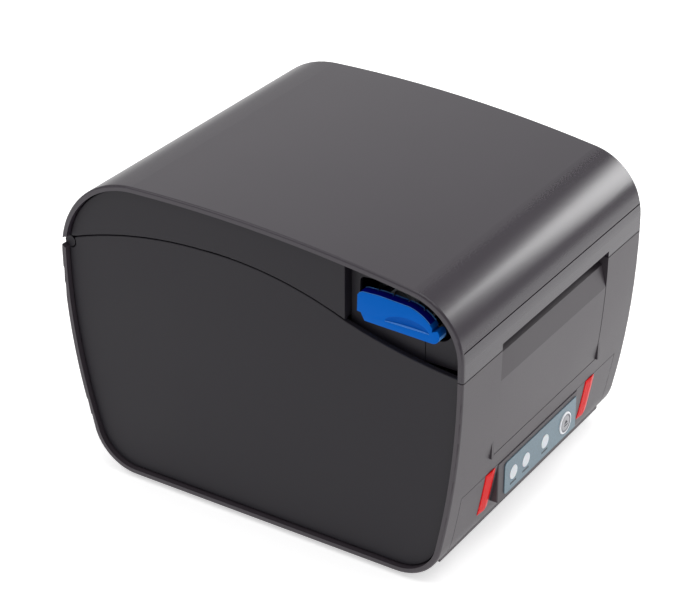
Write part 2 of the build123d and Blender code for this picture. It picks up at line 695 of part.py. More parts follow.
with BuildPart() as hinge_pin:
    rod_x((-66.4, 66.4), hinge_y, hinge_z, pin_radius)
    # wide heads that fill the round opening in the rims
    rod_x((-70.2, -66.4), hinge_y, hinge_z, 2.4)
    rod_x((66.4, 70.2), hinge_y, hinge_z, 2.4)
save(hinge_pin.part, "hinge_pin")

# ---------------------------------------------------------------- cover
with BuildPart() as cover_shell:
    add(band.part)
    keep_region(cover=True)
    block((-lip_end, lip_end), (-1, 6), (90, lip_top + 0.5), Mode.SUBTRACT)
    for x in (-40, 40):
        rod_z(x, 18.5, (113.6, 121.4), 3.0)
        rod_z(x, 31.0, (113.6, 124.2), 3.0)
        rod_z(x, 18.5, (112, 119), 1.1, Mode.SUBTRACT)
        rod_z(x, 31.0, (112, 119), 1.1, Mode.SUBTRACT)
    rod_x((-half_width - 1, half_width + 1), hinge_y, hinge_z, hinge_relief, Mode.SUBTRACT)
    for side in (-1, 1):
        ends = sorted((side * 57.4, side * 65.4))
        rod_x(ends, hinge_y, hinge_z, knuckle_radius)
        block(ends, (179.4, 182.3), (hinge_z + 0.3, 106.3))
    rod_x((-66, 66), hinge_y, hinge_z, pin_radius + running, Mode.SUBTRACT)
save(cover_shell.part, "cover_shell")

with BuildPart() as cover_front_lip:
    outline_slab(0, (-lip_end + 0.1, lip_end - 0.1))
    outline_slab(wall, (-half_width, half_width), Mode.SUBTRACT)
    block((-lip_end + 0.1, lip_end - 0.1), (-1, 6), (92.65, lip_top), Mode.INTERSECT)
    block((slot_left, slot_right), (-1, 6), (92, slot_top), Mode.SUBTRACT)
    block((-60, 60), (wall - 0.3, wall + 1.4), (96.2, lip_top))
save(cover_front_lip.part, "cover_front_lip")

return_x = (panel_depth - panel_x - 0.1, recess_x[1])
for name, mirrored in (("cover_left_side", False), ("cover_right_side", True)):
    with BuildPart() as cover_side:
        outline_slab(wall + panel_gap, panel_slab)
        keep_region(cover=True)
        if not mirrored:
            block((-half_width, 0), (-5, recess_rear), (80, 140), Mode.SUBTRACT)
        rod_x((-panel_x - 1, panel_depth - panel_x + 1), hinge_y, hinge_z, hinge_relief + 0.3, Mode.SUBTRACT)
        fillet(cover_side.faces().sort_by(Axis.X)[0].edges(), seam_edge_round)
        if mirrored:
            mirror(about=Plane.YZ, mode=Mode.REPLACE)
        else:
            block(return_x, (recess_rear, recess_rear + 1.4), (103.2, 123.4))
    save(cover_side.part, name)

with BuildPart() as cover_recess_wall:
    outline_slab(wall + 0.6, recess_x)
    block(recess_x, (-1, split_y - 0.3), (93.2, 130), Mode.INTERSECT)
    with BuildSketch(side_plane(recess_x[0] - 1)) as nose_mouth:
        with Locations((0, 0.6)):
            add(lever_face(2.2))
        with Locations((split_y - 2, 120)):
            Rectangle(5, 9)
    extrude(nose_mouth.sketch, amount=4, mode=Mode.SUBTRACT)
save(cover_recess_wall.part, "cover_recess_wall")

with BuildPart() as cover_liner:
    outline_slab(wall + 2.6, (-60, 60))
    outline_slab(wall + 4.0, (-61, 61), Mode.SUBTRACT)
    block((-60, 60), (52, 170), (116, 140), Mode.INTERSECT)
    for x in (-45, -15, 15, 45):
        with BuildSketch(side_plane(x - 0.8)) as rib:
            add(side_outline(wall + 0.1))
        extrude(rib.sketch, amount=1.6)
        block((-61, 61), (-5, 200), (-5, 121.5), Mode.SUBTRACT)
        block((-61, 61), (-5, 56), (-5, 140), Mode.SUBTRACT)
        block((-61, 61), (168, 200), (-5, 140), Mode.SUBTRACT)
save(cover_liner.part, "cover_liner")

with BuildPart() as platen_bracket:
    for side in (-1, 1):
        ends = sorted((side * 47.0, side * 48.4))
        prism([(14, 97.0), (18, 95.6), (34, 96.4), (34, 113.5), (14, 113.5)], ends)
        inward = sorted((side * 43.4, side * 47.0))
        rod_x(inward, pin_y, pin_z, latch_pin_radius)
        rod_x((ends[0] - 1, ends[1] + 1), platen_y, platen_z, 3.2, Mode.SUBTRACT)
    block((-48.4, 48.4), (14, 34), (112.1, 113.5))
    block((-48.4, 48.4), (14, 15.4), (99.0, 113.5))
    for x in (-40, 40):
        for y in (18.5, 31.0):
            rod_z(x, y, (110, 115), 1.3, Mode.SUBTRACT)
save(platen_bracket.part, "platen_bracket")

with BuildPart() as cover_screws:
    for x in (-40, 40):
        for y in (18.5, 31.0):
            rod_z(x, y, (112.1, 118), 1.05)
            rod_z(x, y, (110.7, 112.1), 2.3)
save(cover_screws.part, "cover_screws")

with BuildPart() as fixed_blade:
    prism([(12.15, 95.9), (12.6, 95.6), (14.0, 97.4), (14.0, 108.0), (12.15, 108.0)], (-45, 45))
save(fixed_blade.part, "fixed_blade")

with BuildPart() as platen_bushes:
    for side in (-1, 1):
        ends = sorted((side * 46.4, side * 49.0))
        rod_x(ends, platen_y, platen_z, 3.15)
        rod_x((ends[0] - 1, ends[1] + 1), platen_y, platen_z, platen_shaft_radius + running, Mode.SUBTRACT)
save(platen_bushes.part, "platen_bushes")

# ---------------------------------------------------------------- platen
with BuildPart() as platen_roller:
    rod_x((-42, 42), platen_y, platen_z, platen_radius)
    rod_x((-43, 43), platen_y, platen_z, platen_shaft_radius, Mode.SUBTRACT)
    fillet(platen_roller.faces().filter_by(Axis.X).edges().group_by(SortBy.RADIUS)[-1], 0.4)
save(platen_roller.part, "platen_roller")

with BuildPart() as platen_shaft:
    rod_x((-49.6, gear_x[1]), platen_y, platen_z, platen_shaft_radius)
save(platen_shaft.part, "platen_shaft")

with BuildPart() as platen_gear:
    gear_on_side(platen_y, platen_z, platen_teeth, platen_phase, gear_x, platen_shaft_radius)
save(platen_gear.part, "platen_gear")
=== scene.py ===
from math import cos, hypot, pi, radians, sin, sqrt

import bmesh
import bpy
from mathutils import Matrix, Vector


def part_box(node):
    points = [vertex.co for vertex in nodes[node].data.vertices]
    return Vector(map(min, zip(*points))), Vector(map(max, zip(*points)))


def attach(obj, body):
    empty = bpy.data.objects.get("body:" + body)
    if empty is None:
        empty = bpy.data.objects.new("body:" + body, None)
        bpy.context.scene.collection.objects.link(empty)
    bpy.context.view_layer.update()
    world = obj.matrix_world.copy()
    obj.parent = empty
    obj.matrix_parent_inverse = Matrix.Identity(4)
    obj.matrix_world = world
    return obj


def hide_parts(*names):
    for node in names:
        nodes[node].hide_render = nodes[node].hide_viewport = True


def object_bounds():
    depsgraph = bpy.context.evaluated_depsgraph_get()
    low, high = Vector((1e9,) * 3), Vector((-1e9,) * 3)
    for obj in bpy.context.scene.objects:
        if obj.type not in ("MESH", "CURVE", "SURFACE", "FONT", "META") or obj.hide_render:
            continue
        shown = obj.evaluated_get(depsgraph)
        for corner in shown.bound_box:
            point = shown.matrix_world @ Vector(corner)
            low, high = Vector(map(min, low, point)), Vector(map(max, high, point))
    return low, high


# Receipt printer with a hinged cover, a front paper exit and a blue release lever, in metres.
# Sections follow the way the printer goes together, from the underside up to the cover.
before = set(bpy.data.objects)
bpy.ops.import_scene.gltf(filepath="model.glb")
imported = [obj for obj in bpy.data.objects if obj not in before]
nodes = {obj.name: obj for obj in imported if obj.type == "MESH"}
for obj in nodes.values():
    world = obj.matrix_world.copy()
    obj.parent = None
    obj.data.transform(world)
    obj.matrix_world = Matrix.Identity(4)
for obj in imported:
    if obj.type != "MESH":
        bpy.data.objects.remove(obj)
cad_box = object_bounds()
mm = 0.001

# ---------------------------------------------------------------- underside plate
# A pressed sheet of zinc-plated steel with a row of cooling slots. It closes the moulded base
# from below and its soft rolled grain runs front to back.


class Wire:
    """A socket in a node tree. Arithmetic on wires adds Math nodes, and node() adds any other node."""

    def __init__(self, tree, socket=None):
        self.tree = tree
        self.socket = socket

    def node(self, kind, settings=None, sockets=None, output=0):
        """Adds a node: its settings first, a ramp's stops among them, then its sockets."""
        made = self.tree.nodes.new(kind)
        for name, value in (settings or {}).items():
            if name == "stops":
                for index, (place, shade) in enumerate(value):
                    stops = made.color_ramp.elements
                    stop = stops[index] if index < len(stops) else stops.new(place)
                    stop.position = place
                    stop.color = shade
            else:
                setattr(made, name, value)
        for name, value in (sockets or {}).items():
            if isinstance(value, Wire):
                self.tree.links.new(value.socket, made.inputs[name])
            else:
                made.inputs[name].default_value = value
        return Wire(self.tree, made.outputs[output])

    def maths(self, operation, first, second):
        return self.node("ShaderNodeMath", {"operation": operation}, {0: first, 1: second})

    def __add__(self, other):
        return self.maths("ADD", self, other)

    def __sub__(self, other):
        return self.maths("SUBTRACT", self, other)

    def __rsub__(self, other):
        return self.maths("SUBTRACT", other, self)

    def __mul__(self, other):
        return self.maths("MULTIPLY", self, other)

    __radd__ = __add__
    __rmul__ = __mul__


def tone(red, green, blue):
    """Display colour from 0 to 255 as the linear colour that shaders use."""
    shades = [value / 255 for value in (red, green, blue)]
    return [s / 12.92 if s <= 0.04045 else ((s + 0.055) / 1.055) ** 2.4 for s in shades] + [1.0]


def scaled(colour, factor):
    """The same colour, darker or lighter by that factor."""
    return [factor * value for value in colour[:3]] + [1.0]


def own_place(material):
    """Wire of the coordinates of whatever piece wears the material, in metres."""
    return Wire(material.node_tree).node("ShaderNodeTexCoord", None, None, "Object")


def start_finish(name, fixed):
    """A material with those fixed values on its shader, and a wire of the piece's own coordinates."""
    material = bpy.data.materials.new(name)
    material.use_nodes = True
    shader = material.node_tree.nodes["Principled BSDF"]
    for socket, value in fixed.items():
        shader.inputs[socket].default_value = value
    return material, own_place(material)


def feed(material, socket, wire):
    """Links a wire to a socket of the material's shader."""
    shader = material.node_tree.nodes["Principled BSDF"]
    material.node_tree.links.new(wire.socket, shader.inputs[socket])


def noise(place, scale, detail=2.0, stretch=(1, 1, 1)):
    """Noise on the piece's coordinates; a large stretch squeezes it along that axis."""
    drawn = place.node("ShaderNodeVectorMath", {"operation": "MULTIPLY"}, {0: place, 1: stretch})
    return drawn.node("ShaderNodeTexNoise", None, {"Vector": drawn, "Scale": scale, "Detail": detail})


def between(factor, first, second):
    """Colour that goes from the first to the second as the factor goes from 0 to 1."""
    return factor.node("ShaderNodeMix", {"data_type": "RGBA"}, {0: factor, 6: first, 7: second}, 2)


def relief(height, depth):
    """Surface normal of a fine relief of that depth in metres."""
    return height.node("ShaderNodeBump", None, {"Height": height, "Distance": depth, "Strength": 1.0})


def dress(slot, material, *names):
    """Gives CAD pieces their finish."""
    for name in names:
        nodes[name].data.materials.clear()
        nodes[name].data.materials.append(material)


def sheet_metal(name, colour, roughness, stretch):
    """Rolled sheet: a bright metal with fine streaks and faint cloudy stains."""
    material, place = start_finish(name, {"Metallic": 1.0})
    streaks = noise(place, 260, 3.0, stretch)
    clouds = noise(place, 45, 2.0)
    feed(material, "Base Color", between(streaks * 0.6 + clouds * 0.4, scaled(colour, 0.72), colour))
    feed(material, "Roughness", streaks * 0.16 + clouds * 0.1 + (roughness - 0.13))
    feed(material, "Normal", relief(streaks, 0.004 * mm))
    return material


zinc_sheet = sheet_metal("zinc_sheet", tone(178, 180, 184), 0.34, (9, 1, 9))
dress("sheet_steel", zinc_sheet, "bottom_plate")

# ---------------------------------------------------------------- feet
# Four soft black rubber feet, moulded with a rounded rim and two shallow rings so that they grip
# the counter. Each is pushed into a seat in the base.


def mesh_of(name, shape):
    """Plain mesh of a shape that was built up in bmesh."""
    mesh = bpy.data.meshes.new(name)
    shape.to_mesh(mesh)
    shape.free()
    return mesh


def add_object(name, data):
    """Puts a mesh, a lamp or a camera into the scene as an object of that name."""
    made = bpy.data.objects.new(name, data)
    bpy.context.scene.collection.objects.link(made)
    return made


def settled(made):
    """The object's mesh with its modifiers worked in."""
    bpy.context.view_layer.update()
    ready = made.evaluated_get(bpy.context.evaluated_depsgraph_get())
    return bpy.data.meshes.new_from_object(ready)


def keep_piece(made, body, stood_for):
    """The piece rides a body and stands for those CAD nodes, if any."""
    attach(made, body)
    if stood_for:
        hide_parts(*stood_for)


def turned(outline, steps=64):
    """Mesh turned about the Z axis from radius and height pairs, which start and end on the axis."""
    shape = bmesh.new()
    rings = []
    for radius, height in outline:
        count = steps if radius > 0 else 1
        turn = [2 * pi * step / count for step in range(count)]
        rings.append([shape.verts.new((radius * cos(a), radius * sin(a), height)) for a in turn])
    for lower, upper in zip(rings, rings[1:]):
        for step in range(steps):
            corners = [lower[step % len(lower)], lower[(step + 1) % len(lower)]]
            corners += [upper[(step + 1) % len(upper)], upper[step % len(upper)]]
            shape.faces.new(list(dict.fromkeys(corners)))
    bmesh.ops.recalc_face_normals(shape, faces=shape.faces)
    return mesh_of("turned", shape)


def soften(mesh, sharp=35):
    """Smooth shading, except across edges sharper than that many degrees."""
    mesh.shade_smooth()
    mesh.set_sharp_from_angle(angle=radians(sharp))


def start_tree(name, sizes):
    """A Geometry Nodes tree: places, named sizes and a finish come in, and one mesh goes out."""
    tree = bpy.data.node_groups.new(name, "GeometryNodeTree")
    sockets = {"Places": "NodeSocketGeometry", **sizes, "Finish": "NodeSocketMaterial"}
    for socket, kind in sockets.items():
        tree.interface.new_socket(socket, in_out="INPUT", socket_type=kind)
    tree.interface.new_socket("Result", in_out="OUTPUT", socket_type="NodeSocketGeometry")
    source = tree.nodes.new("NodeGroupInput")
    return tree, {name: Wire(tree, source.outputs[name]) for name in sockets}


def stand_on(points, shape, **turns):
    """The shape stands on every point."""
    return points.node("GeometryNodeInstanceOnPoints", None, {"Points": points, "Instance": shape, **turns})


def end_tree(tree, placed, finish):
    """The instances become real geometry, take the finish and leave the tree."""
    real = placed.node("GeometryNodeRealizeInstances", None, {0: placed})
    done = real.node("GeometryNodeSetMaterial", None, {"Geometry": real, "Material": finish})
    sink = tree.nodes.new("NodeGroupOutput")
    tree.links.new(done.socket, sink.inputs[0])


def grow(name, tree, places, sizes, body, slot, *stood_for):
    """Runs a tree on a list of places and keeps the result as a plain piece on that body."""
    seats = bpy.data.meshes.new(name)
    seats.from_pydata([tuple(place) for place in places], [], [])
    made = add_object(name, seats)
    modifier = made.modifiers.new("grown", "NODES")
    modifier.node_group = tree
    for socket in tree.interface.items_tree:
        if socket.name in sizes:
            modifier[socket.identifier] = sizes[socket.name]
    mesh = settled(made)
    made.modifiers.remove(modifier)
    made.data = mesh
    soften(mesh)
    keep_piece(made, body, stood_for)


number, vector, thing = "NodeSocketFloat", "NodeSocketVector", "NodeSocketObject"
set_out, sizes_in = start_tree("set_out_parts", {"Part": thing, "Facing": vector})
facing = sizes_in["Facing"].node(
    "FunctionNodeAlignRotationToVector", {"axis": "Z"}, {"Vector": sizes_in["Facing"]})
part = sizes_in["Part"].node("GeometryNodeObjectInfo", None, {"Object": sizes_in["Part"]}, "Geometry")
end_tree(set_out, stand_on(sizes_in["Places"], part, Rotation=facing), sizes_in["Finish"])


def set_out_part(name, mesh, places, facing, material, body, slot, *stood_for):
    """Copies of one small part, all facing the same way, as one piece."""
    pattern = add_object(name + "_pattern", mesh)
    sizes = {"Part": pattern, "Facing": facing, "Finish": material}
    grow(name, set_out, places, sizes, body, slot, *stood_for)
    bpy.data.objects.remove(pattern)


def four_corners(low, high, inset, height):
    """Places inside the corners of a box seen from above, at that height."""
    return [
        (x, y, height)
        for x in (low.x + inset, high.x - inset)
        for y in (low.y + inset, high.y - inset)
    ]


def rubber(name, colour, roughness, grain):
    """Rubber with a matt, slightly dusty skin."""
    material, place = start_finish(name, {"Specular IOR Level": 0.35})
    dust = noise(place, 120, 4.0)
    feed(material, "Base Color", between(dust, scaled(colour, 0.6), colour))
    feed(material, "Roughness", dust * 0.14 + (roughness - 0.07))
    feed(material, "Normal", relief(noise(place, 2600, 2.0), grain))
    return material


foot_low, foot_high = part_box("rubber_feet")
foot_radius, foot_rim, rim_steps = 7.0 * mm, 0.9 * mm, 6
foot_tall = foot_high.z - foot_low.z
hollow, groove = 0.25 * mm, 0.3 * mm
foot_outline = [(0, hollow), (2.2 * mm, hollow), (2.4 * mm, 0), (4.0 * mm, 0)]
foot_outline += [(4.2 * mm, groove), (4.6 * mm, groove), (4.8 * mm, 0)]
for step in range(rim_steps + 1):
    turn = radians(90 * step / rim_steps)
    foot_outline.append((foot_radius - foot_rim * (1 - sin(turn)), foot_rim * (1 - cos(turn))))
foot_outline += [(foot_radius, foot_tall), (0, foot_tall)]
foot_places = four_corners(foot_low, foot_high, foot_radius, foot_low.z)
foot_rubber = rubber("foot_rubber", tone(38, 38, 40), 0.8, 0.03 * mm)
up, down, ahead, leftward = (0, 0, 1), (0, 0, -1), (0, -1, 0), (-1, 0, 0)
set_out_part(
    "gripping_feet", turned(foot_outline), foot_places, up, foot_rubber, "root", "foot_rubber",
    "rubber_feet")

# ---------------------------------------------------------------- housing screws
# Pan-head screws with a cross recess, turned from steel wire and blackened or zinc-plated. Four
# hold the underside plate, and four more hold the platen bracket inside the cover.


def as_object(name, shape):
    """Puts a shape that was built up in bmesh into the scene."""
    return add_object(name, mesh_of(name, shape))


def cut_away(body, tool, crossing=False):
    """Cuts the tool out of the body and removes it; crossing when the tool's own shapes cross."""
    cut = body.modifiers.new("cut", "BOOLEAN")
    cut.object = tool
    cut.operation = "DIFFERENCE"
    cut.solver = "EXACT"
    cut.use_self = crossing
    mesh = settled(body)
    body.modifiers.remove(cut)
    body.data = mesh
    bpy.data.objects.remove(tool)


def cross_screw(head_radius, head_tall, shank_radius, shank_long):
    """A screw whose head rises along Z from the origin and whose shank goes down from it."""
    brim, crown = 0.35, 0.45      # straight part of the head's height, flat part of its radius
    dome_steps = 8
    tip = shank_radius * 0.7
    outline = [(0, -shank_long), (shank_radius * 0.6, -shank_long), (shank_radius, tip - shank_long)]
    outline += [(shank_radius, 0), (head_radius, 0), (head_radius, head_tall * brim)]
    for step in range(1, dome_steps + 1):
        turn = radians(90 * step / dome_steps)
        reach = head_radius * (crown + (1 - crown) * cos(turn))
        outline.append((reach, head_tall * (brim + (1 - brim) * sin(turn))))
    outline.append((0, head_tall * 1.02))
    screw = add_object("screw", turned(outline, 40))
    cross = bmesh.new()
    arm_long, arm_wide = 1.25 * head_radius, 0.3 * head_radius
    for wide, deep in ((arm_long, arm_wide), (arm_wide, arm_long)):
        arm = Matrix.Translation((0, 0, head_tall)) @ Matrix.Diagonal((wide, deep, head_tall, 1))
        bmesh.ops.create_cube(cross, size=1, matrix=arm)
    cut_away(screw, as_object("cross", cross), crossing=True)
    finished = screw.data
    bpy.data.objects.remove(screw)
    return finished


screw_steel = sheet_metal("screw_steel", tone(120, 121, 126), 0.3, (1, 1, 1))
low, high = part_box("base_screws")
base_head, base_head_tall = 2.8 * mm, 1.1 * mm
screw_places = four_corners(low, high, base_head, low.z + base_head_tall)
set_out_part(
    "underside_screws", cross_screw(base_head, base_head_tall, 1.5 * mm, 1.3 * mm), screw_places,
    down, screw_steel, "root", "screw_steel", "base_screws")
low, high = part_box("cover_screws")
inner_head, inner_head_tall = 2.3 * mm, 1.3 * mm
inner_places = four_corners(low, high, inner_head, low.z + inner_head_tall)
inner_long = high.z - low.z - inner_head_tall
set_out_part(
    "bracket_screws", cross_screw(inner_head, inner_head_tall, 1.05 * mm, inner_long), inner_places,
    down, screw_steel, "cover", "screw_steel", "cover_screws")

# ---------------------------------------------------------------- moulded housing
# Injection-moulded black ABS. The base and the cover's band wrap round front, top and back with
# a satin skin, glossier along the cover's front edge. The set-in sides have a coarser grain.


pitted = 2400  # scale of the grain's noise


def along(place, axis):
    """One coordinate of a place: X, Y or Z."""
    return place.node("ShaderNodeSeparateXYZ", None, {0: place}, axis)


def rise(wire, start, end):
    """0 up to the start, 1 past the end and an even rise between the two."""
    return wire.node("ShaderNodeMapRange", None, {0: wire, 1: start, 2: end})


def moulded(name, colour, roughness, grain, specular=0.5):
    """ABS straight from the tool: even colour, faint flow clouds and a very fine pitted grain."""
    material, place = start_finish(name, {"Specular IOR Level": specular})
    clouds = noise(place, 26, 3.0)
    speckle = noise(place, pitted, 1.0)
    mottle = clouds * 0.6 + speckle * 0.4
    feed(material, "Base Color", between(mottle, scaled(colour, 0.88), scaled(colour, 1.14)))
    feed(material, "Roughness", clouds * 0.08 + speckle * 0.1 + (roughness - 0.09))
    feed(material, "Normal", relief(speckle, grain))
    return material


cover_satin = moulded("cover_satin", tone(47, 41, 49), 0.34, 0.006 * mm)
place = own_place(cover_satin)
polish = rise(along(place, "Y"), cad_box[0].y + 24 * mm, cad_box[0].y + 15 * mm)
feed(cover_satin, "Roughness", noise(place, pitted, 1.0) * 0.1 + 0.28 - polish * 0.1)
side_black = moulded("side_black", tone(29, 26, 32), 0.52, 0.012 * mm, 0.28)
front_grey = moulded("front_grey", tone(55, 49, 55), 0.44, 0.008 * mm)
inner_black = moulded("inner_black", tone(26, 26, 28), 0.55, 0.012 * mm, 0.4)
dress("front_grey", front_grey, "base_shell")
dress("side_black", side_black, "base_left_panel", "base_right_panel")

# ---------------------------------------------------------------- front panels
# The paper chute's apron and the light panel are separate mouldings in the base's own colour,
# clipped in from behind with a hairline gap all round.

dress("front_grey", front_grey, "chute_panel", "light_panel")

# ---------------------------------------------------------------- alarm lights
# Two red acrylic lenses in the light panel. Each is moulded with a ridge from top to bottom and
# diffuser ribs on the inside, and stands slightly proud of the panel.


def front_face(height):
    """Depth coordinate of the housing's bulged front at a height above the counter."""
    bulge, belt = 375 * mm, 94 * mm
    return cad_box[0].y + bulge - sqrt(bulge**2 - (height - belt) ** 2)


def new_piece(name, mesh, material, body, slot, *stood_for):
    """Puts a finished mesh into the scene as a piece of the printer."""
    mesh.materials.clear()
    mesh.materials.append(material)
    keep_piece(add_object(name, mesh), body, stood_for)


def wall_round(shape, lower, upper):
    """Faces all the way round between two closed outlines with as many corners."""
    for index in range(len(lower)):
        after = (index + 1) % len(lower)
        shape.faces.new((lower[index], lower[after], upper[after], upper[index]))


lens_red, place = start_finish(
    "lens_red", {
        "Roughness": 0.26, "Specular IOR Level": 0.05, "Emission Strength": 0.07,
        "Subsurface Weight": 0.05, "Subsurface Scale": 2 * mm, "Subsurface Radius": (1.0, 0.2, 0.1)})
ribs = place.node(
    "ShaderNodeTexWave", {"wave_type": "BANDS", "bands_direction": "Z"},
    {"Vector": place, "Scale": 330, "Distortion": 0.3})
glow = noise(place, 90, 2.0)
feed(lens_red, "Base Color", between(ribs * 0.35 + glow * 0.5, tone(180, 0, 8), tone(214, 10, 14)))
feed(lens_red, "Emission Color", between(glow, tone(255, 10, 10), tone(255, 60, 40)))
feed(lens_red, "Normal", relief(ribs, 0.02 * mm))

lens_proud, lens_deep = 0.175 * mm, 3.0 * mm
lens_edge, ridge_off, levels = 0.25 * mm, 0.9 * mm, 22
for name in ("alarm_lens_left", "alarm_lens_right"):
    low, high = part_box(name)
    middle, half = (low.x + high.x) / 2, (high.x - low.x) / 2
    across = [-half, -half + lens_edge, ridge_off, half - lens_edge, half]
    stand = [-0.1 * mm, 0.15 * mm, 0.6 * mm, 0.15 * mm, -0.1 * mm]
    shape = bmesh.new()
    rows = []
    for step in range(levels + 1):
        height = low.z + (high.z - low.z) * step / levels
        end = 0.2 * mm if step in (0, levels) else 0.0
        skin = front_face(height)
        outer = [(middle + x, skin - out - lens_proud + end, height) for x, out in zip(across, stand)]
        inner = [(middle + half, skin + lens_deep, height), (middle - half, skin + lens_deep, height)]
        rows.append([shape.verts.new(corner) for corner in outer + inner])
    for under, over in zip(rows, rows[1:]):
        wall_round(shape, under, over)
    shape.faces.new(rows[0])
    shape.faces.new(rows[-1])
    bmesh.ops.recalc_face_normals(shape, faces=shape.faces)
    mesh = mesh_of(name, shape)
    soften(mesh, 14)
    new_piece(name.replace("alarm", "ridged"), mesh, lens_red, "root", "alarm_red", name)

# ---------------------------------------------------------------- control panel
# A polyester overlay in speckled blue-grey sits on the pod, with windows for three lamps. A ring
# with a white rim goes round the feed key. Small bars and the key's arrow are printed in dark ink.

overlay, place = start_finish("overlay", {"Specular IOR Level": 0.5, "Coat Weight": 0.15})
speckle = noise(place, 1700, 2.0)
clouds = noise(place, 60, 2.0)
feed(overlay, "Base Color", between(speckle * 0.8 + clouds * 0.2, tone(60, 84, 98), tone(114, 138, 150)))
feed(overlay, "Roughness", speckle * 0.2 + 0.32)
feed(overlay, "Normal", relief(speckle, 0.01 * mm))
dress("label_film", overlay, "control_label")
dress("front_grey", front_grey, "control_pod")

window_white, place = start_finish(
    "window_white", {"Subsurface Weight": 0.3, "Subsurface Scale": 1 * mm, "Specular IOR Level": 0.5})
haze = noise(place, 700, 2.0)
feed(window_white, "Base Color", between(haze, tone(184, 190, 196), tone(212, 217, 221)))
feed(window_white, "Roughness", haze * 0.2 + 0.25)
dress("window_white", window_white, "led_windows")


def plain_plastic(name, colour, roughness, grain=0.006 * mm, scale=1500):
    """Gloss or satin plastic with a faint orange-peel and slight mottling of its gloss."""
    material, place = start_finish(name, {"Specular IOR Level": 0.5})
    mottle = noise(place, scale, 2.0)
    feed(material, "Base Color", between(mottle, scaled(colour, 0.86), colour))
    feed(material, "Roughness", mottle * 0.12 + (roughness - 0.06))
    feed(material, "Normal", relief(mottle, grain))
    return material


key_low, key_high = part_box("feed_button")
key_x, key_z = (key_low.x + key_high.x) / 2, (key_low.z + key_high.z) / 2
trim_ring = plain_plastic("trim_ring", tone(226, 228, 232), 0.3)
place = own_place(trim_ring)
flat = place.node("ShaderNodeVectorMath", {"operation": "MULTIPLY"}, {0: place, 1: (1, 0, 1)})
from_key = flat.node(
    "ShaderNodeVectorMath", {"operation": "DISTANCE"}, {0: flat, 1: (key_x, 0, key_z)}, "Value")
white_rim = rise(from_key, 4.0 * mm, 4.15 * mm)
feed(trim_ring, "Base Color", between(white_rim, tone(120, 122, 130), tone(228, 230, 234)))
key_grey = plain_plastic("key_grey", tone(158, 158, 163), 0.42)
ink = plain_plastic("ink", tone(34, 36, 44), 0.6)
dress("ring_white", trim_ring, "button_ring")
dress("button_grey", key_grey, "feed_button")

bars, sizes_in = start_tree("row_of_bars", {"Count": "NodeSocketInt", "Pitch": vector, "Size": vector})
row = sizes_in["Count"].node(
    "GeometryNodeMeshLine", {"mode": "OFFSET"}, {"Count": sizes_in["Count"], "Offset": sizes_in["Pitch"]})
bar = row.node("GeometryNodeMeshCube", None, {"Size": sizes_in["Size"]})
end_tree(bars, stand_on(sizes_in["Places"], stand_on(row, bar)), sizes_in["Finish"])


def rows_of_bars(name, places, count, pitch, size, material, body, slot, *stood_for):
    """Straight rows of equal square bars; each row starts at one of the places."""
    sizes = {"Count": count, "Pitch": pitch, "Size": size, "Finish": material}
    grow(name, bars, places, sizes, body, slot, *stood_for)


label_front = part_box("control_label")[0].y
lamp_low, lamp_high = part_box("led_windows")
lamp_radius = (lamp_high.z - lamp_low.z) / 2
lamp_height = (lamp_high.z + lamp_low.z) / 2
lamp_pitch, ink_thick = 10.2 * mm, 0.01 * mm
first_lamp = lamp_low.x + lamp_radius
lamps = [first_lamp, first_lamp + lamp_pitch, lamp_high.x - lamp_radius]
print_face = label_front - ink_thick
caption = [(x - 2.2 * mm, print_face, lamp_height - lamp_radius - 1.4 * mm) for x in lamps]
rows_of_bars(
    "printed_captions", caption, 6, (0.85 * mm, 0, 0), (0.55 * mm, 0.04 * mm, 0.9 * mm), ink, "root",
    "label_film")
feed_mark = bmesh.new()
mark_face, mark_thick = key_low.y - 0.02 * mm, 0.06 * mm
arrow = [(-1.5, -0.1), (1.5, -0.1), (0, 1.5)]
mark_bar = [(-1.5, -1.2), (1.5, -1.2), (1.5, -0.7), (-1.5, -0.7)]
for outline in (arrow, mark_bar):
    rims = [[feed_mark.verts.new((key_x + x * mm, y, key_z + z * mm)) for x, z in outline]
            for y in (mark_face, mark_face + mark_thick)]
    wall_round(feed_mark, *rims)
    for rim in rims:
        feed_mark.faces.new(rim)
bmesh.ops.recalc_face_normals(feed_mark, faces=feed_mark.faces)
new_piece("feed_mark", mesh_of("feed_mark", feed_mark), ink, "feed_button", "label_film")

# ---------------------------------------------------------------- release lever
# A thick blue ABS lever that swings on a steel shaft and lets go of the cover's latch. Its outer
# face has a finger scoop over a straight ledge. The top edge is notched for grip. The navy over the
# top and the darker blue in the scoop are painted shade; the light blue along the edges and on the
# ledge is a painted highlight.


def bend_through(start, middle, end, steps):
    """Points on the round arc from start to end through the middle, without its start."""
    (ax, ay), (bx, by), (cx, cy) = start, middle, end
    scale = 2 * (ax * (by - cy) + bx * (cy - ay) + cx * (ay - by))
    squares = [x * x + y * y for x, y in (start, middle, end)]
    ux = (squares[0] * (by - cy) + squares[1] * (cy - ay) + squares[2] * (ay - by)) / scale
    uy = (squares[0] * (cx - bx) + squares[1] * (ax - cx) + squares[2] * (bx - ax)) / scale
    radius = hypot(ax - ux, ay - uy)
    first = Vector((ax - ux, ay - uy))
    sweep = first.angle_signed(Vector((cx - ux, cy - uy)))
    start_angle = Vector((1, 0)).angle_signed(first)
    points = []
    for step in range(1, steps + 1):
        angle = -(start_angle + sweep * step / steps)
        points.append((ux + radius * cos(angle), uy + radius * sin(angle)))
    return points


def prism(points, x_limits):
    """Closed shape of a side view, given as depth and height pairs, drawn out between two X places."""
    shape = bmesh.new()
    ends = [[shape.verts.new((x, y, z)) for y, z in points] for x in x_limits]
    wall_round(shape, *ends)
    for end in ends:
        shape.faces.new(end)
    bmesh.ops.recalc_face_normals(shape, faces=shape.faces)
    return shape


